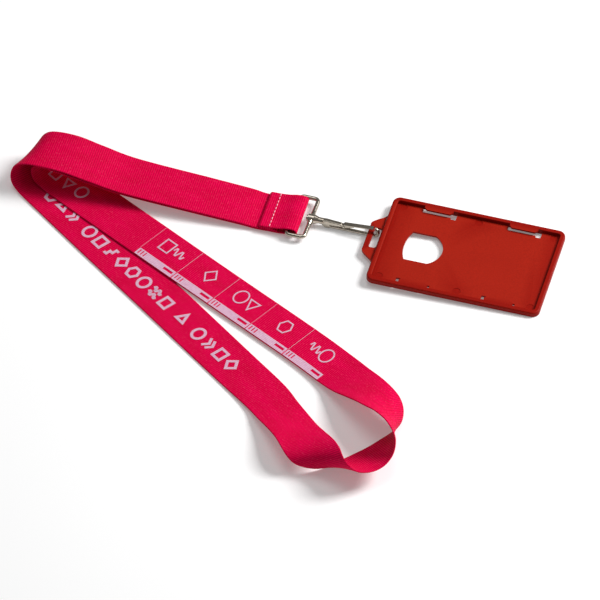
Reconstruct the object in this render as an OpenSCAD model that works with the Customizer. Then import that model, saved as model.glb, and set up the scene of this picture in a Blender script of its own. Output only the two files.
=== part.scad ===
// Neck lanyard with a swivelling snap hook and an open-faced rigid card holder.
// Millimetres, +Z up, lying on a table as if just put down. The origin is on the table,
// under the middle of the whole footprint.

/* [Strap] */
// Width of the ribbon
strap_w = 25; // [24.6:0.1:25.2]
// Thickness of the ribbon
strap_t = 0.8; // [0.6:0.05:0.85]
// Sections of ribbon made between one station of its route and the next
strap_steps = 4; // [3:1:6]

/* [Stitching] */
// Stitches in the row across the tab
stitch_count = 10; // [6:1:10]
// Length of a stitch with the gap that follows it
stitch_pitch = 2.45; // [2.3:0.05:2.5]
// Diameter of the thread
thread_d = 0.4; // [0.3:0.05:0.4]

/* [Swivel ring] */
// Diameter of the ring's round bar
bar_d = 2.3; // [2:0.1:2.4]
// Clear width between the ring's two side bars
ring_inner_w = 25.7; // [25.6:0.1:27]
// Distance between the middles of the ring's two long bars
ring_l = 9.6; // [9.2:0.1:10]
// Radius of the middle line at the ring's corners
ring_corner_r = 2.2; // [1.8:0.1:2.6]
// Outer diameter of the boss that the shank turns in
boss_d = 5; // [4.6:0.1:5.4]
// Length of the boss along the shank
boss_l = 3; // [2.6:0.1:3]

/* [Hook] */
// Diameter of the shank where it turns in the boss
shank_d = 2; // [1.8:0.1:2.2]
// Diameter of the hook's wire
wire_d = 2; // [1.8:0.05:2.1]
// Distance from the boss to the middle of the wire that stands in the tag's slot
hook_l = 35.4; // [35.2:0.1:35.6]
// Distance from the boss to the gate's rivet
gate_x = 17.6; // [17:0.1:18.2]
// Width of the hook's body and of the gate
gate_w = 2.4; // [2.3:0.05:2.6]
// Thickness of the gate's sheet
gate_t = 0.5; // [0.4:0.05:0.6]
// Diameter of the gate's rivet
rivet_d = 0.8; // [0.7:0.05:0.85]
// Diameter of the gate spring's wire
spring_d = 0.22; // [0.18:0.01:0.24]

/* [Card holder] */
// Length of the tray
tray_l = 91; // [90.5:0.1:92]
// Width of the tray
tray_w = 60.5; // [59.5:0.1:61]
// Height of the rim
tray_h = 3.1; // [3:0.1:3.4]
// Thickness of the floor
floor_t = 1.1; // [0.9:0.1:1.2]
// Thickness of the rim
rim_w = 2.6; // [2.2:0.1:2.6]
// Outer radius of the tray's corners
tray_r = 4; // [3:0.1:5]
// How far a tab reaches in from the tray's outer edge
tab_reach = 5.3; // [4.6:0.1:5.6]
// Length of a tab
tab_l = 15; // [12:0.5:16]
// How far the slotted tag stands out of the tray
tag_l = 7.2; // [7:0.1:7.4]
// Thickness of the tag
tag_t = 1.2; // [1:0.1:1.3]

/* [Hidden] */
$fn = 48;
// Overlap that joins the pieces of one solid
join = 0.02;

// The layout is drawn about a point inside the strap's loop. This moves it to the footprint's middle.
layout_shift = [6.6, 12.8, 0];
// Middle of the ring's long bar that carries the boss, and the compass angle of the ring and of the hook
boss_at = [5.8, 54.2, 3.4];
hook_turn = -16.5;
// Far corner of the tray at its tag end, the tray's compass angle and its tilt down to the far end
tray_at = [48.5, 68.9, 0];
tray_turn = -15;
tray_tilt = 1.4;
// Middle of the stitched row, which stands on the underside of the sewn stack, and the ribbon's compass angle
row_at = [-12.6, 59.4, 0.75];
row_turn = 165;
stack_h = 3.5;
// Running clearance on the radius of the shank, and of the rivet in the gate
shank_play = 0.03;
rivet_play = 0.03;
// Height of the gate's rivet above the shank's axis, and of the hook's wire above it
pivot_z = 0.1;
wire_z = wire_d / 2 - boss_at[2];
// Bends of the hook's nose: up from the table, then back towards the gate
nose_r = 1.6;
tip_r = 1.3;
tip_z = 0.8;
// Middle of the slotted tag along the tray's end, half the length of its straight top, and a flank's length
tag_mid = 30.6;
tag_top_half = 9;
tag_flank = 8.8;

// The ribbon's route. A station is [x, y, z, compass, rise]: a point on the ribbon's middle line, and the
// compass angle and rise of the line across the ribbon there. The route starts at the end sewn in under the
// tab, runs along the upper layer, round the outside of the curl, out and back through the neck bend, round
// the inside of the curl, along the lower layer, round the ring and back as the tab with its turned-under hem.
route = [
    [-8.5, 58.3, 2.05, 75, 0],
    [-13, 59.5, 2.05, 75, 0],
    [-18.5, 60.9, 2.05, 75, 0],
    [-22, 61.8, 2.4, 75, 0],
    [-28, 63.3, 3.5, 75, 1],
    [-47, 68, 5.6, 75, 2],
    [-86, 78, 9.6, 74, 3],
    [-104, 83, 13.6, 74, 5],
    [-118, 87, 17, 73, 6],
    [-131, 90, 17.8, 72, 2],
    [-137.5, 91.5, 14.6, 67, -9],
    [-140, 92, 8.8, 55, -17],
    [-139.5, 89, 3.4, 43, -12],
    [-135.5, 84, 0.9, 38, -2],
    [-124.5, 70, 0.5, 38, 0],
    [-102.5, 41.5, 0.5, 38, 0],
    [-70, 0, 0.5, 38, 0],
    [-35, -45, 0.5, 38, 0],
    [-18, -67, 1, 37, -2],
    [-11, -79.5, 2.8, 35, -7],
    [-6, -89.5, 5.5, 32, -10],
    [-2, -98.5, 8.4, 29, -10],
    [1.3, -106, 10.6, 26, -3],
    [4.6, -112.6, 11.9, 19, 9],
    [8, -118, 12, 6, 24],
    [12, -122, 11, -18, 38],
    [16.8, -123.6, 9.3, -42, 41],
    [22.2, -122.6, 7.4, -55, 32],
    [27.7, -120.3, 6.2, -60, 26],
    [33.2, -117.1, 5.6, -62, 23],
    [38.6, -113.2, 6, -64, 25],
    [43.5, -108.2, 7.6, -70, 32],
    [47, -102.3, 10, -87, 42],
    [47.3, -95.8, 12.2, -115, 45],
    [45, -89, 13.3, -134, 35],
    [41.5, -83, 13.2, -140, 23],
    [37, -76.5, 11.8, -142, 15],
    [31.7, -69, 9, -141, 8],
    [25.7, -60.8, 5.5, -138, 3],
    [17.8, -50.3, 2.5, -134, 0],
    [0, -31.5, 1.4, -134, 0],
    [-41, 7, 1.4, -134, 0],
    [-81, 45, 1.4, -134, 0],
    [-112.5, 75, 1.4, -134, 0],
    [-127, 89, 2.4, -130, 3],
    [-131.5, 94, 6.5, -121, 10],
    [-129.5, 94, 11.5, -112, 3],
    [-120, 89, 14, -107, -5],
    [-104, 83, 12.2, -106, -5],
    [-86, 78, 8.4, -106, -3],
    [-47, 68, 4.4, -105, -2],
    [-28, 63.3, 2.4, -105, -1],
    [-22, 61.8, 1.4, -105, 0],
    [-18.5, 60.9, 1.15, -105, 0],
    [-13, 59.5, 1.15, -105, 0],
    [-8, 58.1, 1.2, -105, 0],
    [-4, 57.1, 1.5, -105, 0],
    [-0.6, 56.2, 1.6, -105, 0],
    [0.7, 55.8, 2.1, -105, 0],
    [1.2, 55.7, 3.4, -105, 0],
    [0.7, 55.8, 4.7, -105, 0],
    [-0.6, 56.2, 5.3, -105, 0],
    [-4, 57.1, 5.3, -105, 0],
    [-8, 58.1, 4.4, -105, 0],
    [-12.6, 59.4, 3.85, -105, 0],
    [-16, 60.3, 3.85, -105, 0],
    [-17.4, 60.6, 3.8, -105, 0],
    [-17.9, 60.8, 3.4, -105, 0],
    [-17.4, 60.6, 3, -105, 0],
    [-16, 60.3, 2.95, -105, 0],
    [-10.6, 58.8, 2.95, -105, 0]
];

// ---------- helpers ----------

function unit(v) = v / norm(v);

// A smooth curve through b and c, where t runs from 0 to 1
function through(a, b, c, d, t) = (2 * b + (c - a) * t + (2 * a - 5 * b + 4 * c - d) * t * t
    + (3 * b - a - 3 * c + d) * t * t * t) / 2;

// All the sections' values along a list of stations
function smooth(list, steps) = let (last = len(list) - 1) concat(
    [
        for (i = [0 : last - 1], k = [0 : steps - 1])
            through(list[max(i - 1, 0)], list[i], list[i + 1], list[min(i + 2, last)], k / steps)
    ],
    [list[last]]
);

function across(station) = [
    cos(station[4]) * cos(station[3]),
    cos(station[4]) * sin(station[3]),
    sin(station[4])
];

// Points of an arc about [x, y], from one angle to another
function arc(x, y, r, from, to, n = 6) = [
    for (i = [0 : n]) let (a = from + (to - from) * i / n) [x + r * cos(a), y + r * sin(a)]
];

function rounded_rectangle(x0, y0, x1, y1, r) = concat(
    arc(x1 - r, y1 - r, r, 0, 90),
    arc(x0 + r, y1 - r, r, 90, 180),
    arc(x0 + r, y0 + r, r, 180, 270),
    arc(x1 - r, y0 + r, r, 270, 360)
);

// A round rod between two points on the X axis
module rod_x(d, x0, x1) {
    translate([x0, 0, 0])
        rotate([0, 90, 0])
            cylinder(d = d, h = x1 - x0);
}

// A round rod along Y, centred
module rod_y(d, l) {
    rotate([90, 0, 0])
        cylinder(d = d, h = l, center = true);
}

// ---------- neck strap ----------

module ribbon(stations, w, t, steps) {
    middle = smooth([for (s = stations) [s[0], s[1], s[2]]], steps);
    width = smooth([for (s = stations) across(s)], steps);
    last = len(middle) - 1;
    points = [
        for (i = [0 : last])
            let (
                run = unit(middle[min(i + 1, last)] - middle[max(i - 1, 0)]),
                side = unit(width[i]),
                face = unit(cross(side, run))
            )
            for (k = [[-1, -1], [1, -1], [1, 1], [-1, 1]])
                middle[i] + side * k[0] * w / 2 + face * k[1] * t / 2
    ];
    walls = [
        for (i = [0 : last - 1], k = [0 : 3])
            let (a = 4 * i + k, b = 4 * i + (k + 1) % 4)
            for (triangle = [[a, b, b + 4], [a, b + 4, a + 4]])
                triangle
    ];
    ends = [[3, 2, 1, 0], [for (k = [0 : 3]) 4 * last + k]];
    polyhedron(points, concat(walls, ends));
}

module neck_strap() {
    color("#e0004a")
        translate(layout_shift)
            ribbon(route, strap_w, strap_t, strap_steps);
}

// ---------- stitching ----------

// One stitch: a closed loop of thread round the stack, centred on its length along Y
module stitch() {
    half = stitch_pitch * 0.24;
    top = stack_h + thread_d / 2;
    for (z = [-thread_d / 2, top]) {
        translate([0, 0, z])
            rod_y(thread_d, 2 * half);
    }
    for (y = [-half, half]) {
        translate([0, y, -thread_d / 2])
            cylinder(d = thread_d, h = top + thread_d / 2);
        for (z = [-thread_d / 2, top]) {
            translate([0, y, z])
                sphere(d = thread_d);
        }
    }
}

module end_stitching() {
    color("#f58aa8")
        translate(layout_shift + row_at)
            rotate([0, 0, row_turn])
                for (i = [0 : stitch_count - 1]) {
                    translate([0, (i - (stitch_count - 1) / 2) * stitch_pitch, 0])
                        stitch($fn = 16);
                }
}

// ---------- swivel ring ----------

// The ring and the hook share this place: X runs from the boss to the hook's nose along the shank
module at_boss() {
    translate(layout_shift + boss_at)
        rotate([0, 0, hook_turn])
            children();
}

module swivel_ring() {
    side_y = (ring_inner_w + bar_d) / 2;
    straight_y = side_y - ring_corner_r;
    flare = 2.6;
    color("#b9b2a8")
        at_boss()
            difference() {
                union() {
                    for (x = [0, -ring_l]) {
                        translate([x, 0, 0])
                            rod_y(bar_d, 2 * straight_y);
                    }
                    for (s = [-1, 1]) {
                        translate([0, s * side_y, 0])
                            rod_x(bar_d, ring_corner_r - ring_l, -ring_corner_r);
                    }
                    for (corner = [[-1, 1, 0], [0, 1, 1], [0, 0, 2], [-1, 0, 3]]) {
                        translate([
                            corner[0] == 0 ? ring_corner_r - ring_l : -ring_corner_r,
                            corner[1] == 0 ? -straight_y : straight_y,
                            0
                        ])
                            rotate([0, 0, corner[2] * 90])
                                rotate_extrude(angle = 90)
                                    translate([ring_corner_r, 0])
                                        circle(d = bar_d);
                    }
                    rod_x(boss_d, -boss_l / 2, boss_l / 2);
                    for (s = [-1, 1]) {
                        rotate([-90 * s, 0, 0])
                            translate([0, 0, boss_d / 2 - 0.4])
                                cylinder(d1 = boss_l - 0.1, d2 = bar_d, h = flare);
                    }
                }
                rod_x(shank_d + 2 * shank_play, -boss_l, boss_l);
            }
}

// ---------- hook ----------

// The wire from the body along the table, up through the tag's slot and back to the gate
module hook_wire() {
    arm_end = hook_l - nose_r;
    tip_x = hook_l - tip_r;
    nose_z = wire_z + nose_r;
    translate([0, 0, wire_z])
        rod_x(wire_d, 8.4, arm_end);
    translate([arm_end, 0, nose_z])
        rotate([90, 0, 0])
            rotate([0, 0, -90])
                rotate_extrude(angle = 90)
                    translate([nose_r, 0])
                        circle(d = wire_d);
    translate([hook_l, 0, nose_z])
        cylinder(d = wire_d, h = tip_z - nose_z);
    translate([tip_x, 0, tip_z])
        rotate([90, 0, 0])
            rotate_extrude(angle = 90)
                translate([tip_r, 0])
                    circle(d = wire_d);
    translate([tip_x, 0, tip_z + tip_r])
        rotate([0, -90, 0])
            cylinder(d1 = wire_d, d2 = wire_d - 0.7, h = 0.3);
}

// A block with rounded edges whose side outline has its corners at the given points
module rounded_bar(corners, w, r) {
    hull() {
        for (c = corners, s = [-1, 1]) {
            translate([c[0], s * (w / 2 - r), c[1]])
                sphere(r = r, $fn = 24);
        }
    }
}

module hook_body() {
    edge = 0.45;
    ear_r = 0.75;
    color("#b3ab9f")
        at_boss()
            difference() {
                union() {
                    rod_x(shank_d, -boss_l / 2 - 1, boss_l / 2 + 0.4);
                    rod_x(3.2, -boss_l / 2 - 1, -boss_l / 2 - 0.1);
                    translate([boss_l / 2 + 0.1, 0, 0])
                        rotate([0, 90, 0])
                            cylinder(d1 = boss_d, d2 = 3.4, h = 2.4);
                    rod_x(3.4, 4 - join, 6.6);
                    rounded_bar([[5.4, -1.1], [5.4, 0.9], [8, 1.15], [gate_x - 1.7, 0.5], [gate_x - 1.7, -0.1], [8.4, -0.2]],
                        gate_w, edge);
                    rounded_bar([[5.6, -0.8], [7.6, -2.9], [9.4, -2.9], [9.8, -2], [8.6, 0.2]], gate_w, edge);
                    hook_wire();
                    translate([gate_x, 0, pivot_z])
                        rod_y(2 * ear_r, 1.5);
                    translate([gate_x - 2, -0.75, pivot_z - ear_r])
                        cube([2, 1.5, 2 * ear_r]);
                }
                translate([gate_x - 1.1, -0.38, -2])
                    cube([3, 0.76, 4]);
                translate([gate_x, 0, pivot_z])
                    rod_y(rivet_d, 4);
            }
}

// ---------- gate ----------

// The gate's own place: the origin on its rivet, X towards the nose
module at_pivot() {
    at_boss()
        translate([gate_x, 0, pivot_z])
            children();
}

module gate_leaf() {
    root_r = 0.78;
    rise = 5.4;
    web_z = 0.82;
    leaf_l = 15.8;
    gap_w = 2 * 0.83;
    color("#a8a096")
        at_pivot()
            difference() {
                union() {
                    rod_y(2 * root_r, gate_w);
                    rotate([0, -rise, 0])
                        translate([0, -gate_w / 2, web_z - 0.5])
                            cube([5.5, gate_w, 0.5 + gate_t]);
                    rotate([90, 0, 0])
                        linear_extrude(gate_w, center = true)
                            polygon([[0, -root_r], [4.2, 0.5], [5.4, 1.3], [0.6, 1.2], [0, root_r]]);
                    rotate([0, -rise, 0])
                        translate([0.6, 0, web_z])
                            linear_extrude(gate_t)
                                polygon(rounded_rectangle(0, -gate_w / 2, leaf_l - 0.6, gate_w / 2, 0.5));
                }
                // the channel, open below and at the back
                rotate([0, -rise, 0])
                    translate([-2, -gap_w / 2, web_z - 4])
                        cube([20, gap_w, 4]);
                translate([-2, -gap_w / 2, -2])
                    cube([2.4, gap_w, 4]);
                rod_y(rivet_d + 2 * rivet_play, 4);
            }
}

module gate_spring() {
    coil_r = rivet_d / 2 + 0.05 + spring_d / 2;
    pitch = spring_d * 0.9;
    color("#d0ccc4")
        at_pivot() {
            for (i = [-1, 0, 1]) {
                translate([0, i * pitch, 0])
                    rotate([90, 0, 0])
                        rotate_extrude($fn = 32)
                            translate([coil_r, 0])
                                circle(d = spring_d, $fn = 16);
            }
            // the leg that pushes the gate up, and the leg that rests in the hook's fork
            translate([0, -pitch, coil_r])
                rotate([0, 81, 0])
                    cylinder(d = spring_d, h = 3, $fn = 16);
            translate([0, pitch, -coil_r])
                rotate([0, -90, 0])
                    cylinder(d = spring_d, h = 0.9, $fn = 16);
        }
}

module gate_rivet() {
    head_d = rivet_d + 0.6;
    head_t = 0.25;
    head_y = gate_w / 2 + 0.05;
    color("#c9c4bb")
        at_pivot() {
            rod_y(rivet_d, 2 * head_y + 2 * join);
            for (s = [-1, 1]) {
                rotate([-90 * s, 0, 0])
                    translate([0, 0, head_y])
                        cylinder(d1 = head_d, d2 = head_d - 0.3, h = head_t);
            }
        }
}

// ---------- card holder ----------

// The holder's own place: X from its tag end to its far end, Y from its near side to its far side
module at_tray() {
    translate(layout_shift + tray_at)
        rotate([0, 0, tray_turn])
            translate([tray_l, 0, 0])
                rotate([0, tray_tilt, 0])
                    translate([-tray_l, -tray_w, 0])
                        children();
}

// Section of the rim: x in from the outer face, y up
module rim_section() {
    outer_r = 0.9;
    inner_r = 0.35;
    foot_r = 0.3;
    polygon(concat(
        [[rim_w, 0]],
        arc(rim_w - inner_r, tray_h - inner_r, inner_r, 0, 90, 4),
        arc(outer_r, tray_h - outer_r, outer_r, 90, 180, 6),
        arc(foot_r, foot_r, foot_r, 180, 270, 4)
    ));
}

// One straight side of the rim along +X, its outer face on y = 0
module rim_side(l) {
    translate([tray_r, 0, 0])
        rotate([90, 0, 90])
            linear_extrude(l - 2 * tray_r)
                rim_section();
}

module rim_corner() {
    translate([tray_r, tray_r, 0])
        rotate([0, 0, 180])
            rotate_extrude(angle = 90)
                translate([tray_r, 0])
                    mirror([1, 0])
                        rim_section();
}

module rim() {
    for (turn = [[0, 0, 0], [tray_l, 0, 90], [tray_l, tray_w, 180], [0, tray_w, 270]]) {
        translate([turn[0], turn[1], 0])
            rotate([0, 0, turn[2]]) {
                rim_side(turn[2] % 180 == 0 ? tray_l : tray_w);
                rim_corner();
            }
    }
}

// Outline of the slotted tag: the flanks are bells that run smoothly into the tray and into the tag's top
module tag_outline() {
    bell = [for (i = [0 : 12]) [tag_l * (cos(i * 15) - 1) / 2, tag_top_half + tag_flank * (12 - i) / 12]];
    polygon(concat(
        [[1.5, -tag_top_half - tag_flank], [1.5, tag_top_half + tag_flank]],
        bell,
        [for (i = [12 : -1 : 0]) [bell[i][0], -bell[i][1]]]
    ));
}

// The slot that the hook stands in: its strip has full-round edges
module tag() {
    strip_w = 3;
    edge_r = tag_t / 2;
    slot_x0 = strip_w - tag_l;
    slot_x1 = -0.5;
    slot_half = 7.15;
    translate([0, tag_mid, 0]) {
        difference() {
            linear_extrude(tag_t)
                tag_outline();
            translate([slot_x0 - edge_r, -slot_half, -1])
                linear_extrude(tag_t + 2)
                    polygon(rounded_rectangle(0, 0, slot_x1 - slot_x0 + edge_r, 2 * slot_half, 1.4));
            translate([-tag_l - 1, -tag_top_half, -1])
                cube([1 + edge_r, 2 * tag_top_half, tag_t + 2]);
        }
        for (x = [edge_r - tag_l, slot_x0 - edge_r]) {
            translate([x, 0, edge_r])
                rod_y(tag_t, 2 * (x < slot_x0 - 1 ? tag_top_half : slot_half));
        }
    }
}

// A retaining tab over the near side's pocket edge, its middle on x = 0
module tab() {
    under_z = 2.1;
    chamfer = 1.4;
    root = rim_w - 0.6;
    translate([0, 0, under_z])
        linear_extrude(tray_h - under_z)
            polygon([
                [-tab_l / 2, root],
                [tab_l / 2, root],
                [tab_l / 2, tab_reach - chamfer],
                [tab_l / 2 - chamfer, tab_reach],
                [chamfer - tab_l / 2, tab_reach],
                [-tab_l / 2, tab_reach - chamfer]
            ]);
}

// The window in the floor under a tab, with its wider notch past one end
module tab_window() {
    half = tab_l / 2;
    for (part = [[-half - 0.8, half + 0.8, tab_reach + 0.3], [-half - 2, 0.8 - half, 6.7]]) {
        translate([0, 0, -1])
            linear_extrude(floor_t + 2)
                polygon(rounded_rectangle(part[0], rim_w, part[1], part[2], 0.35));
    }
}

// Everything that sits under or over a tab: two on each long side
module at_tabs() {
    for (x = [24.4, 69.2]) {
        translate([x, 0, 0])
            children();
        translate([x, tray_w, 0])
            rotate([0, 0, 180])
                children();
    }
}

// The opening that a thumb pushes the card out through: two arcs cut off by two straight sides
module thumb_opening() {
    translate([0, tray_w / 2, -1])
        linear_extrude(floor_t + 2)
            intersection() {
                translate([36.9, 0])
                    circle(r = 24);
                translate([21.3, 0])
                    circle(r = 11.7);
                translate([0, -10])
                    square([40, 20]);
            }
}

module card_holder() {
    mark_d = 4.2;
    mark_depth = 0.15;
    marks = [[6, 5.5], [46.7, 6], [85.5, 5.5], [6, 55.5], [45.8, 55.5], [85.5, 55.5]];
    color("#c22a18")
        at_tray()
            difference() {
                union() {
                    rim();
                    linear_extrude(floor_t)
                        polygon(rounded_rectangle(1.3, 1.3, tray_l - 1.3, tray_w - 1.3, tray_r - 1.3));
                    tag();
                    at_tabs()
                        tab();
                }
                at_tabs()
                    tab_window();
                thumb_opening();
                for (m = marks) {
                    translate([m[0], m[1], floor_t - mark_depth])
                        cylinder(d = mark_d, h = 0.8);
                }
            }
}

neck_strap();
end_stitching();
swivel_ring();
hook_body();
gate_leaf();
gate_spring();
gate_rivet();
card_holder();
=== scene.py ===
"""Looks of the lanyard badge holder: ribbed printed ribbon, nickel hook and ring, moulded card holder.

Everything is in metres in the row frame: +Z up, the table at z = 0, the viewer looking along +Y from above.
"""

import math

import bpy
import numpy as np
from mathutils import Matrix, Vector


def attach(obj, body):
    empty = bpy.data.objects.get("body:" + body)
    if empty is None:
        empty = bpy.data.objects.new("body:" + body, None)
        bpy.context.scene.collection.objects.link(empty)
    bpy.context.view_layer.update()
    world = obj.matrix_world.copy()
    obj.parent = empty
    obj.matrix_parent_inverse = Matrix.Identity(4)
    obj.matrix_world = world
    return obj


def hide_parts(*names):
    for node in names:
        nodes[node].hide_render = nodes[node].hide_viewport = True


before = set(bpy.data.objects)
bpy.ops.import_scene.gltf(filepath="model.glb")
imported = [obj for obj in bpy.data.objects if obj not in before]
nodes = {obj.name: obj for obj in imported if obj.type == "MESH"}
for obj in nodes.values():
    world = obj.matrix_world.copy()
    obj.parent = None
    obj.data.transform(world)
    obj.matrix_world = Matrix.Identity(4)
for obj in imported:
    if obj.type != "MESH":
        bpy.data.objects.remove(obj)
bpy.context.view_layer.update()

MM = 0.001
LAYOUT_SHIFT = (0.0066, 0.0128, 0.0)

RIBBON_W = 0.025
HALF_T = 0.00036
RIB_PITCH = 0.0011
RIB_HEIGHT = 0.00012
SELVEDGE = 0.0009

# The ribbon's route, as in part.scad but in metres: middle line x, y, z, then the compass angle and the rise
# of the line across the ribbon, in degrees.
ROUTE = [
    (-0.0085, 0.0583, 0.00205, 75, 0),
    (-0.013, 0.0595, 0.00205, 75, 0),
    (-0.0185, 0.0609, 0.00205, 75, 0),
    (-0.022, 0.0618, 0.0024, 75, 0),
    (-0.028, 0.0633, 0.0035, 75, 1),
    (-0.047, 0.068, 0.0056, 75, 2),
    (-0.086, 0.078, 0.0096, 74, 3),
    (-0.104, 0.083, 0.0136, 74, 5),
    (-0.118, 0.087, 0.017, 73, 6),
    (-0.131, 0.09, 0.0178, 72, 2),
    (-0.1375, 0.0915, 0.0146, 67, -9),
    (-0.14, 0.092, 0.0088, 55, -17),
    (-0.1395, 0.089, 0.0034, 43, -12),
    (-0.1355, 0.084, 0.0009, 38, -2),
    (-0.1245, 0.07, 0.0005, 38, 0),
    (-0.1025, 0.0415, 0.0005, 38, 0),
    (-0.07, 0.0, 0.0005, 38, 0),
    (-0.035, -0.045, 0.0005, 38, 0),
    (-0.018, -0.067, 0.001, 37, -2),
    (-0.011, -0.0795, 0.0028, 35, -7),
    (-0.006, -0.0895, 0.0055, 32, -10),
    (-0.002, -0.0985, 0.0084, 29, -10),
    (0.0013, -0.106, 0.0106, 26, -3),
    (0.0046, -0.1126, 0.0119, 19, 9),
    (0.008, -0.118, 0.012, 6, 24),
    (0.012, -0.122, 0.011, -18, 38),
    (0.0168, -0.1236, 0.0093, -42, 41),
    (0.0222, -0.1226, 0.0074, -55, 32),
    (0.0277, -0.1203, 0.0062, -60, 26),
    (0.0332, -0.1171, 0.0056, -62, 23),
    (0.0386, -0.1132, 0.006, -64, 25),
    (0.0435, -0.1082, 0.0076, -70, 32),
    (0.047, -0.1023, 0.01, -87, 42),
    (0.0473, -0.0958, 0.0122, -115, 45),
    (0.045, -0.089, 0.0133, -134, 35),
    (0.0415, -0.083, 0.0132, -140, 23),
    (0.037, -0.0765, 0.0118, -142, 15),
    (0.0317, -0.069, 0.009, -141, 8),
    (0.0257, -0.0608, 0.0055, -138, 3),
    (0.0178, -0.0503, 0.0025, -134, 0),
    (0.0, -0.0315, 0.0014, -134, 0),
    (-0.041, 0.007, 0.0014, -134, 0),
    (-0.081, 0.045, 0.0014, -134, 0),
    (-0.1125, 0.075, 0.0014, -134, 0),
    (-0.127, 0.089, 0.0024, -130, 3),
    (-0.1315, 0.094, 0.0065, -121, 10),
    (-0.1295, 0.094, 0.0115, -112, 3),
    (-0.12, 0.089, 0.014, -107, -5),
    (-0.104, 0.083, 0.0122, -106, -5),
    (-0.086, 0.078, 0.0084, -106, -3),
    (-0.047, 0.068, 0.0044, -105, -2),
    (-0.028, 0.0633, 0.0024, -105, -1),
    (-0.022, 0.0618, 0.0014, -105, 0),
    (-0.0185, 0.0609, 0.00115, -105, 0),
    (-0.013, 0.0595, 0.00115, -105, 0),
    (-0.008, 0.0581, 0.0012, -105, 0),
    (-0.004, 0.0571, 0.0015, -105, 0),
    (-0.0006, 0.0562, 0.0016, -105, 0),
    (0.0007, 0.0558, 0.0021, -105, 0),
    (0.0012, 0.0557, 0.0034, -105, 0),
    (0.0007, 0.0558, 0.0047, -105, 0),
    (-0.0006, 0.0562, 0.0053, -105, 0),
    (-0.004, 0.0571, 0.0053, -105, 0),
    (-0.008, 0.0581, 0.0044, -105, 0),
    (-0.0126, 0.0594, 0.00385, -105, 0),
    (-0.016, 0.0603, 0.00385, -105, 0),
    (-0.0174, 0.0606, 0.0038, -105, 0),
    (-0.0179, 0.0608, 0.0034, -105, 0),
    (-0.0174, 0.0606, 0.003, -105, 0),
    (-0.016, 0.0603, 0.00295, -105, 0),
    (-0.0106, 0.0588, 0.00295, -105, 0),
]
# Stations that the print is placed from: the end of its bold row, and the start of its bar
ROW_END_STATION = 17
BAR_START_STATION = 39


# ---------- the ribbon's surface ----------

def spline(values, t):
    """Catmull-Rom through the rows of values at the parameters t, with the end rows repeated."""
    last = len(values) - 1
    i = np.clip(np.floor(t).astype(int), 0, last - 1)
    u = (t - i)[:, None]
    a, b = values[np.maximum(i - 1, 0)], values[i]
    c, d = values[i + 1], values[np.minimum(i + 2, last)]
    return (2 * b + (c - a) * u + (2 * a - 5 * b + 4 * c - d) * u**2 + (3 * b - a - 3 * c + d) * u**3) / 2


def unit(v):
    return v / np.linalg.norm(v, axis=1)[:, None]


class Ribbon:
    """Maps (distance along, distance across, height) to a point. Height 0 is the middle of its thickness."""

    def __init__(self):
        route = np.array(ROUTE, float)
        self.middle = route[:, :3] + np.array(LAYOUT_SHIFT)
        az, el = np.radians(route[:, 3]), np.radians(route[:, 4])
        self.across = np.stack([np.cos(el) * np.cos(az), np.cos(el) * np.sin(az), np.sin(el)], 1)
        samples_per_station = 60
        self.t = np.linspace(0, len(route) - 1, (len(route) - 1) * samples_per_station + 1)
        points = spline(self.middle, self.t)
        steps = np.linalg.norm(np.diff(points, axis=0), axis=1)
        self.s = np.concatenate([[0], np.cumsum(steps)])
        self.length = float(self.s[-1])
        self.station_s = self.s[::samples_per_station]

    def frames(self, s):
        s = np.asarray(s, float)
        ds = 0.0002
        t = np.interp(s, self.s, self.t)
        t0 = np.interp(np.maximum(s - ds, 0), self.s, self.t)
        t1 = np.interp(np.minimum(s + ds, self.length), self.s, self.t)
        middle = spline(self.middle, t)
        run = unit(spline(self.middle, t1) - spline(self.middle, t0))
        side = unit(spline(self.across, t))
        up = unit(np.cross(run, side))
        return middle, side, up

    def points(self, s, v, h):
        middle, side, up = self.frames(s)
        return middle + side * np.asarray(v, float)[:, None] + up * np.asarray(h, float)[:, None]


ribbon_surface = Ribbon()


def new_mesh(name, verts, faces, smooth=True):
    mesh = bpy.data.meshes.new(name)
    mesh.from_pydata([tuple(map(float, p)) for p in verts], [], [tuple(f) for f in faces])
    mesh.validate()
    if smooth:
        mesh.polygons.foreach_set("use_smooth", [True] * len(mesh.polygons))
    mesh.update()
    ob = bpy.data.objects.new(name, mesh)
    bpy.context.scene.collection.objects.link(ob)
    return ob


def add_ribbon_uv(ob, along, wide):
    """The material's own coordinates: metres along the ribbon and across it."""
    uv = ob.data.uv_layers.new(name="ribbon_uv")
    index = np.zeros(len(ob.data.loops), int)
    ob.data.loops.foreach_get("vertex_index", index)
    uv.data.foreach_set("uv", np.stack([along[index], wide[index]], 1).ravel())


def section():
    """The upper outline, edge to edge: (across, share of the half thickness, share of the rib)."""
    half = RIBBON_W / 2
    e = SELVEDGE
    outer = [
        (-half, 0.0, 0.0),
        (-half + 0.15 * e, 0.72, 0.0),
        (-half + 0.5 * e, 1.12, 0.0),
        (-half + e, 0.96, 0.2),
    ]
    inner = [(x * MM, 1.0, 1.0) for x in (-10.8, -8.0, -4.0, 0.0, 4.0, 8.0, 10.8)]
    return outer + inner + [(-x, t, r) for x, t, r in reversed(outer)]


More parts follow.
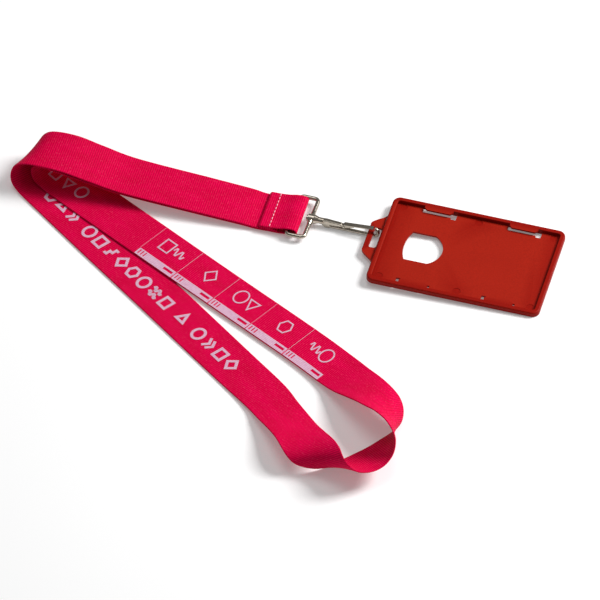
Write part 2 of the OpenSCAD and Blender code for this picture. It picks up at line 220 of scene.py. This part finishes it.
def make_ribbon():
    upper = section()
    ring = upper + [(x, -t, -r) for x, t, r in reversed(upper[1:-1])]
    count = int(round(ribbon_surface.length / (RIB_PITCH / 2)))
    s = np.linspace(0, ribbon_surface.length, count + 1)
    middle, side, up = ribbon_surface.frames(s)
    rib = np.where(np.arange(count + 1) % 2 == 0, 0.5, -0.5) * RIB_HEIGHT
    n = len(ring)
    verts = np.zeros((count + 1, n, 3))
    for j, (x, t, r) in enumerate(ring):
        height = t * HALF_T + r * rib
        verts[:, j] = middle + side * x + up * np.reshape(height, (-1, 1))
    faces = []
    for i in range(count):
        for j in range(n):
            k = (j + 1) % n
            faces.append((i * n + j, i * n + k, (i + 1) * n + k, (i + 1) * n + j))
    faces.append(tuple(range(n))[::-1])
    faces.append(tuple(count * n + j for j in range(n)))
    ob = new_mesh("ribbon", verts.reshape(-1, 3), faces)
    add_ribbon_uv(ob, np.repeat(s, n), np.tile([p[0] for p in ring], count + 1))
    return ob


# ---------- print: generic marks, no lettering ----------

def stroke_outline(path, width, closed):
    """Left and right side points of a stroke with mitred corners."""
    p = np.array(path, float)
    n = len(p)
    left, right = [], []
    for i in range(n):
        before = p[i] - p[i - 1] if (closed or i > 0) else p[1] - p[0]
        after = p[(i + 1) % n] - p[i] if (closed or i < n - 1) else p[-1] - p[-2]
        before, after = before / np.linalg.norm(before), after / np.linalg.norm(after)
        normal_before = np.array([-before[1], before[0]])
        normal_after = np.array([-after[1], after[0]])
        miter = normal_before + normal_after
        miter = miter / np.linalg.norm(miter)
        reach = width / 2 / max(0.35, float(miter @ normal_after))
        left.append(p[i] + miter * reach)
        right.append(p[i] - miter * reach)
    return left, right


class Print:
    """Collects thin raised patches on the ribbon's printed side."""

    base = HALF_T + RIB_HEIGHT / 2 + 0.00001
    thick = 0.00005
    longest_step = 0.002

    def __init__(self):
        self.verts, self.faces, self.along, self.wide = [], [], [], []

    def strip(self, left, right):
        """A strip between two rows of (along, across) points, as a closed thin solid."""
        a, b = [left[0]], [right[0]]
        for i in range(1, len(left)):
            span = max(np.linalg.norm(left[i] - left[i - 1]), np.linalg.norm(right[i] - right[i - 1]))
            cuts = max(1, int(math.ceil(span / self.longest_step)))
            for k in range(1, cuts + 1):
                a.append(left[i - 1] + (left[i] - left[i - 1]) * k / cuts)
                b.append(right[i - 1] + (right[i] - right[i - 1]) * k / cuts)
        start = len(self.verts)
        n = len(a)
        for h in (self.base, self.base + self.thick):
            for row in (a, b):
                s = [q[0] for q in row]
                v = [q[1] for q in row]
                self.verts.extend(ribbon_surface.points(s, v, np.full(n, h)))
                self.along.extend(s)
                self.wide.extend(v)

        def at(layer, row, i):
            return start + (2 * layer + row) * n + i

        for i in range(n - 1):
            self.faces.append((at(1, 0, i), at(1, 0, i + 1), at(1, 1, i + 1), at(1, 1, i)))
            self.faces.append((at(0, 0, i), at(0, 1, i), at(0, 1, i + 1), at(0, 0, i + 1)))
            self.faces.append((at(0, 0, i), at(0, 0, i + 1), at(1, 0, i + 1), at(1, 0, i)))
            self.faces.append((at(0, 1, i), at(1, 1, i), at(1, 1, i + 1), at(0, 1, i + 1)))
        for i in (0, n - 1):
            end = (at(0, 0, i), at(1, 0, i), at(1, 1, i), at(0, 1, i))
            self.faces.append(end if i == 0 else end[::-1])

    def stroke(self, path, width, closed=False):
        left, right = stroke_outline(path, width, closed)
        if closed:
            left.append(left[0])
            right.append(right[0])
        self.strip(left, right)

    def block(self, s0, s1, v0, v1):
        self.strip([np.array([s0, v0]), np.array([s1, v0])], [np.array([s0, v1]), np.array([s1, v1])])

    def build(self, name):
        ob = new_mesh(name, self.verts, self.faces, smooth=False)
        add_ribbon_uv(ob, np.array(self.along), np.array(self.wide))
        return ob


def polygon(count, turn=0.0):
    angles = [turn + 2 * math.pi * i / count for i in range(count)]
    return [(math.cos(a), math.sin(a)) for a in angles]


def wavy(height, swing):
    return [(x / 6, height + swing * math.sin(x * math.pi / 3)) for x in range(-6, 7)]


# Half length and half width of a mark, in the bold row and in the bar's cells
BOLD_MARK = (0.0031, 0.0038)
CELL_MARK = (0.0036, 0.0046)

# Abstract marks in a box from -1 to 1: (path, closed)
MARKS = {
    "square": [([(-0.85, -0.85), (0.85, -0.85), (0.85, 0.85), (-0.85, 0.85)], True)],
    "ring": [(polygon(20), True)],
    "diamond": [(polygon(4), True)],
    "triangle": [(polygon(3, math.pi / 2), True)],
    "hexagon": [(polygon(6), True)],
    "chevrons": [([(x, -0.9), (x + 0.7, 0.0), (x, 0.9)], False) for x in (-0.8, 0.1)],
    "steps": [([(-0.9, -0.7), (-0.3, -0.7), (-0.3, 0.0), (0.3, 0.0), (0.3, 0.7), (0.9, 0.7)], False)],
    "wave": [(wavy(0.0, 0.55), False)],
    "waves": [(wavy(height, 0.3), False) for height in (-0.5, 0.5)],
}


def draw_mark(target, name, s, v, half_long, half_wide, width):
    for path, closed in MARKS[name]:
        target.stroke([(s + x * half_long, v + y * half_wide) for x, y in path], width, closed)


def make_bold_row():
    """The bold row of marks along the outer band, and the few that reach into the curl on the inner band."""
    marks = Print()
    pitch = 0.0091
    s = ribbon_surface.station_s[ROW_END_STATION] + 0.001
    words = [
        ["diamond", "square", "chevrons", "ring"],
        ["triangle"],
        ["square", "waves", "ring", "hexagon", "diamond", "steps", "square", "ring"],
        ["chevrons", "triangle", "hexagon"],
    ]
    for word in words:
        for name in word:
            draw_mark(marks, name, s, -0.0004, *BOLD_MARK, 0.0015)
            s -= pitch
        s -= pitch * 0.5
    s = ribbon_surface.station_s[BAR_START_STATION] + 0.180
    for name in ("ring", "triangle", "square"):
        draw_mark(marks, name, s, 0.0, *BOLD_MARK, 0.0011)
        s += pitch
    return marks.build("print_bold_row")


def make_bar():
    """Five cells: a solid bar along one edge, a thin line after each cell, and one or two marks in it."""
    bar, fine = Print(), Print()
    cell = 0.026
    # across the ribbon: the bar's outer and inner edges, and the far end of the lines between cells
    edge_v, bar_v, line_v = 0.0121, 0.0074, -0.0119
    line_half = 0.00008
    # and the sides of the dash and of the ticks' gap
    dash_v, tick_v = (0.0086, 0.0102), (0.0080, 0.0111)
    tick_pitch = 0.0018
    pairs = [("ring", "wave"), ("hexagon", None), ("triangle", "ring"), ("diamond", None), ("wave", "square")]
    s = ribbon_surface.station_s[BAR_START_STATION] + 0.001
    for i, pair in enumerate(pairs):
        start = s + i * cell
        end = start + cell
        # the bar, with a dash left open at one end of the cell and three ticks set in a gap at the other
        first, dash_from, dash_to = start + 0.0003, start + 0.0014, start + 0.0075
        gap_from, last = end - 0.0056, end - 0.0003
        bar.block(first, dash_from, bar_v, edge_v)
        bar.block(dash_from, dash_to, bar_v, dash_v[0])
        bar.block(dash_from, dash_to, dash_v[1], edge_v)
        bar.block(dash_to, gap_from, bar_v, edge_v)
        for k in range(3):
            bar.block(end - 0.0049 + k * tick_pitch, end - 0.0038 + k * tick_pitch, *tick_v)
        bar.block(gap_from, last, bar_v, tick_v[0])
        bar.block(gap_from, last, tick_v[1], edge_v)
        fine.block(end - line_half, end + line_half, line_v, bar_v)
        # two marks stand side by side, and a single one stands further in
        for k, name in enumerate(pair):
            if name:
                middle = start + (0.0085 if k == 0 else 0.0165) + (0.0035 if pair[1] is None else 0)
                draw_mark(fine, name, middle, -0.0028, *CELL_MARK, 0.0008)
    return bar.build("print_bar"), fine.build("print_fine_marks")


# ---------- materials ----------

class Nodes:
    """A small helper that adds nodes and links them in one call."""

    def __init__(self, name):
        self.material = bpy.data.materials.new(name)
        self.material.use_nodes = True
        self.tree = self.material.node_tree
        self.shader = self.tree.nodes["Principled BSDF"]

    def add(self, kind, inputs=None, **settings):
        node = self.tree.nodes.new(kind)
        for key, value in settings.items():
            setattr(node, key, value)
        for key, value in (inputs or {}).items():
            if isinstance(value, bpy.types.NodeSocket):
                self.tree.links.new(value, node.inputs[key])
            else:
                node.inputs[key].default_value = value
        return node

    def set(self, **values):
        for key, value in values.items():
            socket = self.shader.inputs[key.replace("_", " ")]
            if isinstance(value, bpy.types.NodeSocket):
                self.tree.links.new(value, socket)
            else:
                socket.default_value = value

    def scaled(self, source, scale):
        mapping = self.add("ShaderNodeMapping", {"Vector": source, "Scale": scale})
        return mapping.outputs["Vector"]

    def noise(self, vector, scale, detail=2.0, roughness=0.5):
        inputs = {"Vector": vector, "Scale": scale, "Detail": detail, "Roughness": roughness}
        return self.add("ShaderNodeTexNoise", inputs).outputs["Fac"]

    def ramp(self, fac, stops):
        node = self.add("ShaderNodeValToRGB", {"Fac": fac})
        ramp = node.color_ramp
        while len(ramp.elements) < len(stops):
            ramp.elements.new(0.5)
        for element, (at, colour) in zip(ramp.elements, stops):
            element.position = at
            element.color = (*colour, 1)
        return node.outputs["Color"]

    def mix(self, fac, a, b, blend="MIX"):
        node = self.add("ShaderNodeMix", data_type="RGBA", blend_type=blend)
        for index, value in ((0, fac), (6, a), (7, b)):
            if isinstance(value, bpy.types.NodeSocket):
                self.tree.links.new(value, node.inputs[index])
            elif index == 0:
                node.inputs[0].default_value = value
            else:
                node.inputs[index].default_value = (*value, 1)
        return node.outputs[2]

    def math(self, operation, a, b):
        node = self.add("ShaderNodeMath", {0: a, 1: b}, operation=operation)
        return node.outputs[0]

    def bump(self, height, strength, distance):
        node = self.add("ShaderNodeBump", {"Height": height, "Strength": strength, "Distance": distance})
        return node.outputs["Normal"]


def grey(value):
    return (value, value, value)


def weft_ribs(m):
    """The ribbon's own coordinates, and a wave along them with one crest to a rib's pitch.

    The wave is 0 at whole pitches, where make_ribbon has its crests, so the two are half a pitch apart.
    """
    uv = m.add("ShaderNodeUVMap", uv_map="ribbon_uv").outputs["UV"]
    # the wave texture repeats every 2 pi / 20 of its scaled coordinate
    scale = 2 * math.pi / (20 * RIB_PITCH)
    wave = m.add("ShaderNodeTexWave", {"Vector": uv, "Scale": scale, "Distortion": 0.0},
                 wave_type="BANDS", bands_direction="X")
    return uv, wave.outputs["Fac"]


def ribbon_material():
    m = Nodes("ribbed_ribbon")
    uv, ribs = weft_ribs(m)
    # the thread's short floats along each rib, and painted highlights: specks of light on them
    floats = m.noise(m.scaled(uv, (1 / RIB_PITCH, 2200, 1)), 1.0, 1.5)
    painted_highlight_specks = m.noise(m.scaled(uv, (1500, 900, 1)), 1.0, 3.0, 0.6)
    cloth = m.noise(m.scaled(uv, (60, 160, 1)), 1.0, 3.0)
    base = m.ramp(cloth, [(0.30, (0.67, 0.0002, 0.054)), (0.70, (0.80, 0.0003, 0.078))])
    # painted shade: the colour darkens toward a deep red where the rib wave is low, standing in for shade in
    # the rib valleys
    base_with_painted_valley_shade = m.mix(m.math("MULTIPLY", m.math("SUBTRACT", 1.0, ribs), 0.62), base, (0.30, 0.0, 0.010))
    # painted highlight: pale pink specks mixed over the ribbon's colour
    light = m.ramp(painted_highlight_specks, [(0.56, grey(0.0)), (0.72, grey(1.0))])
    colour = m.mix(m.math("MULTIPLY", light, 0.34), base_with_painted_valley_shade, (1.0, 0.10, 0.22))
    height = m.math("ADD", m.math("MULTIPLY", ribs, 0.6), m.math("MULTIPLY", floats, 0.5))
    m.set(Base_Color=colour, Roughness=0.62, Normal=m.bump(height, 0.55, 0.00012), Specular_IOR_Level=0.03)
    m.set(Sheen_Weight=0.04, Sheen_Roughness=0.45, Sheen_Tint=(1.0, 0.10, 0.25, 1))
    return m.material


def ink_material():
    m = Nodes("white_print")
    place = m.add("ShaderNodeTexCoord").outputs["Object"]
    wear = m.noise(place, 900.0, 4.0, 0.65)
    weave = m.noise(m.scaled(place, (2400, 2400, 2400)), 1.0, 2.0)
    ink = m.ramp(wear, [(0.30, (0.58, 0.30, 0.44)), (0.55, (0.68, 0.46, 0.58))])
    # painted shade: the ink darkens toward a dull pink where the rib wave is low, standing in for shade in
    # the rib valleys; the ribs and the cloth's grain also show through the ink in the bump
    _, ribs = weft_ribs(m)
    colour = m.mix(m.math("MULTIPLY", m.math("SUBTRACT", 1.0, ribs), 0.45), ink, (0.50, 0.17, 0.30))
    height = m.math("ADD", m.math("MULTIPLY", ribs, 0.8), m.math("MULTIPLY", weave, 0.5))
    m.set(Base_Color=colour, Roughness=0.6, Normal=m.bump(height, 0.45, 0.00010))
    return m.material


def thread_material():
    m = Nodes("sewing_thread")
    place = m.add("ShaderNodeTexCoord").outputs["Object"]
    twist = m.add("ShaderNodeTexWave", {"Vector": place, "Scale": 700.0, "Distortion": 1.5},
                  bands_direction="DIAGONAL")
    fibre = m.noise(place, 5000.0, 3.0)
    colour = m.mix(m.math("MULTIPLY", fibre, 0.6), (0.95, 0.36, 0.50), (1.0, 0.62, 0.70))
    m.set(Base_Color=colour, Roughness=0.6, Normal=m.bump(twist.outputs["Fac"], 0.5, 0.00005))
    m.set(Sheen_Weight=0.3)
    return m.material


def nickel_material(name, warm, dark, rough):
    m = Nodes(name)
    place = m.add("ShaderNodeTexCoord").outputs["Object"]
    cast = m.noise(place, 700.0, 4.0, 0.6)
    tarnish = m.noise(place, 160.0, 3.0, 0.55)
    scratch = m.noise(m.scaled(place, (300, 3500, 3500)), 1.0, 2.0)
    colour = m.ramp(tarnish, [(0.32, dark), (0.62, warm)])
    roughness = m.math("ADD", m.math("MULTIPLY", scratch, 0.16), rough)
    height = m.math("ADD", cast, m.math("MULTIPLY", scratch, 0.25))
    m.set(Base_Color=colour, Metallic=1.0, Roughness=roughness, Normal=m.bump(height, 0.22, 0.00006))
    return m.material


def holder_material():
    m = Nodes("moulded_red_plastic")
    place = m.add("ShaderNodeTexCoord").outputs["Object"]
    flow = m.noise(m.scaled(place, (22, 60, 40)), 1.0, 3.0)
    pores = m.noise(place, 2600.0, 3.0, 0.6)
    grain = m.noise(place, 1700.0, 2.0)
    scuff = m.noise(m.scaled(place, (120, 900, 900)), 1.0, 4.0, 0.7)
    edge = m.add("ShaderNodeNewGeometry").outputs["Pointiness"]
    base = m.ramp(flow, [(0.30, (0.255, 0.0042, 0.0009)), (0.72, (0.280, 0.0055, 0.0014))])
    # painted highlight: the convex edges, found by pointiness, are lightened toward a paler red where
    # highlights fall on the rims
    painted_edge_highlight_mask = m.ramp(edge, [(0.52, grey(0.0)), (0.60, grey(1.0))])
    with_painted_edge_highlight = m.mix(m.math("MULTIPLY", painted_edge_highlight_mask, 0.35), base, (0.46, 0.026, 0.010))
    marks = m.ramp(scuff, [(0.62, grey(0.0)), (0.76, grey(1.0))])
    scuffs_and_painted_edge_highlight = m.mix(m.math("MULTIPLY", marks, 0.14), with_painted_edge_highlight, (0.46, 0.026, 0.012))
    speckle = m.ramp(grain, [(0.40, grey(0.86)), (0.60, grey(1.0))])
    colour = m.mix(1.0, scuffs_and_painted_edge_highlight, speckle, "MULTIPLY")
    roughness = m.math("ADD", m.math("MULTIPLY", pores, 0.18), 0.34)
    m.set(Base_Color=colour, Roughness=roughness, Normal=m.bump(m.math("ADD", pores, grain), 0.30, 0.00010))
    m.set(Specular_IOR_Level=0.08)
    return m.material


def floor_material():
    m = Nodes("pale_table")
    place = m.add("ShaderNodeTexCoord").outputs["Object"]
    tone = m.noise(place, 3.0, 2.0)
    m.set(Base_Color=m.ramp(tone, [(0.3, grey(0.80)), (0.7, grey(0.82))]), Roughness=0.9)
    m.set(Emission_Color=(1, 1, 1, 1), Emission_Strength=0.18, Specular_IOR_Level=0.1)
    return m.material


def dress(ob, material):
    ob.data.materials.clear()
    ob.data.materials.append(material)


# ---------- build ----------

ribbon = make_ribbon()
dress(ribbon, ribbon_material())
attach(ribbon, "strap")
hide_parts("neck_strap")

ink = ink_material()
prints = [make_bold_row(), *make_bar()]
for piece in prints:
    dress(piece, ink)
    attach(piece, "strap")

nickel = nickel_material("nickel_plate", (0.50, 0.45, 0.38), (0.36, 0.32, 0.26), 0.14)
dress(nodes["end_stitching"], thread_material())
for name in ("swivel_ring", "hook_body", "gate_leaf", "gate_rivet"):
    dress(nodes[name], nickel)
dress(nodes["gate_spring"], nickel_material("spring_wire", (0.46, 0.44, 0.42), (0.34, 0.32, 0.30), 0.20))
dress(nodes["card_holder"], holder_material())


# ---------- stage, light and camera ----------

WORLD_STRENGTH = 0.20
FLOOR_HALF_SIDE = 20.0
# The floor sits a hair under the table plane, so that it never fights the parts that lie on it
FLOOR_DROP = 0.0001
# name, place, side in metres, power in watts
SOFT_BOXES = [("key", (1.0, 0.35, 0.95), 0.55, 25.0), ("top", (-0.1, 0.35, 1.6), 0.9, 5.0)]
CAMERA_DISTANCE = 6.0
CAMERA_ELEVATION = math.radians(46.5)
CAMERA_LENS = 708.0
CAMERA_SENSOR = 36.0

unit_square = [(-1, -1), (1, -1), (1, 1), (-1, 1)]
floor_corners = [(x * FLOOR_HALF_SIDE, y * FLOOR_HALF_SIDE, 0) for x, y in unit_square]
floor = new_mesh("floor", floor_corners, [(0, 1, 2, 3)], smooth=False)
floor.location.z = -FLOOR_DROP
dress(floor, floor_material())

world = bpy.context.scene.world or bpy.data.worlds.new("studio")
bpy.context.scene.world = world
world.use_nodes = True
background = world.node_tree.nodes["Background"]
background.inputs["Color"].default_value = (1.0, 1.0, 1.0, 1)
background.inputs["Strength"].default_value = WORLD_STRENGTH


def aim(ob, at, target):
    ob.location = at
    ob.rotation_mode = "QUATERNION"
    ob.rotation_quaternion = (Vector(target) - Vector(at)).to_track_quat("-Z", "Y")


for name, at, side, power in SOFT_BOXES:
    light = bpy.data.lights.new(name, "AREA")
    light.shape = "RECTANGLE"
    light.size, light.size_y = side, side
    light.energy = power
    soft_box = bpy.data.objects.new(name, light)
    bpy.context.scene.collection.objects.link(soft_box)
    aim(soft_box, at, (0, 0, 0))

camera_data = bpy.data.cameras.new("camera")
camera_data.sensor_width = CAMERA_SENSOR
camera_data.lens = CAMERA_LENS
camera_data.clip_start, camera_data.clip_end = 0.5, 40.0
camera = bpy.data.objects.new("camera", camera_data)
bpy.context.scene.collection.objects.link(camera)
target = Vector(LAYOUT_SHIFT)
towards_viewer = Vector((0, -math.cos(CAMERA_ELEVATION), math.sin(CAMERA_ELEVATION)))
aim(camera, target + CAMERA_DISTANCE * towards_viewer, target)
bpy.context.scene.camera = camera
bpy.context.scene.view_settings.view_transform = "Standard"
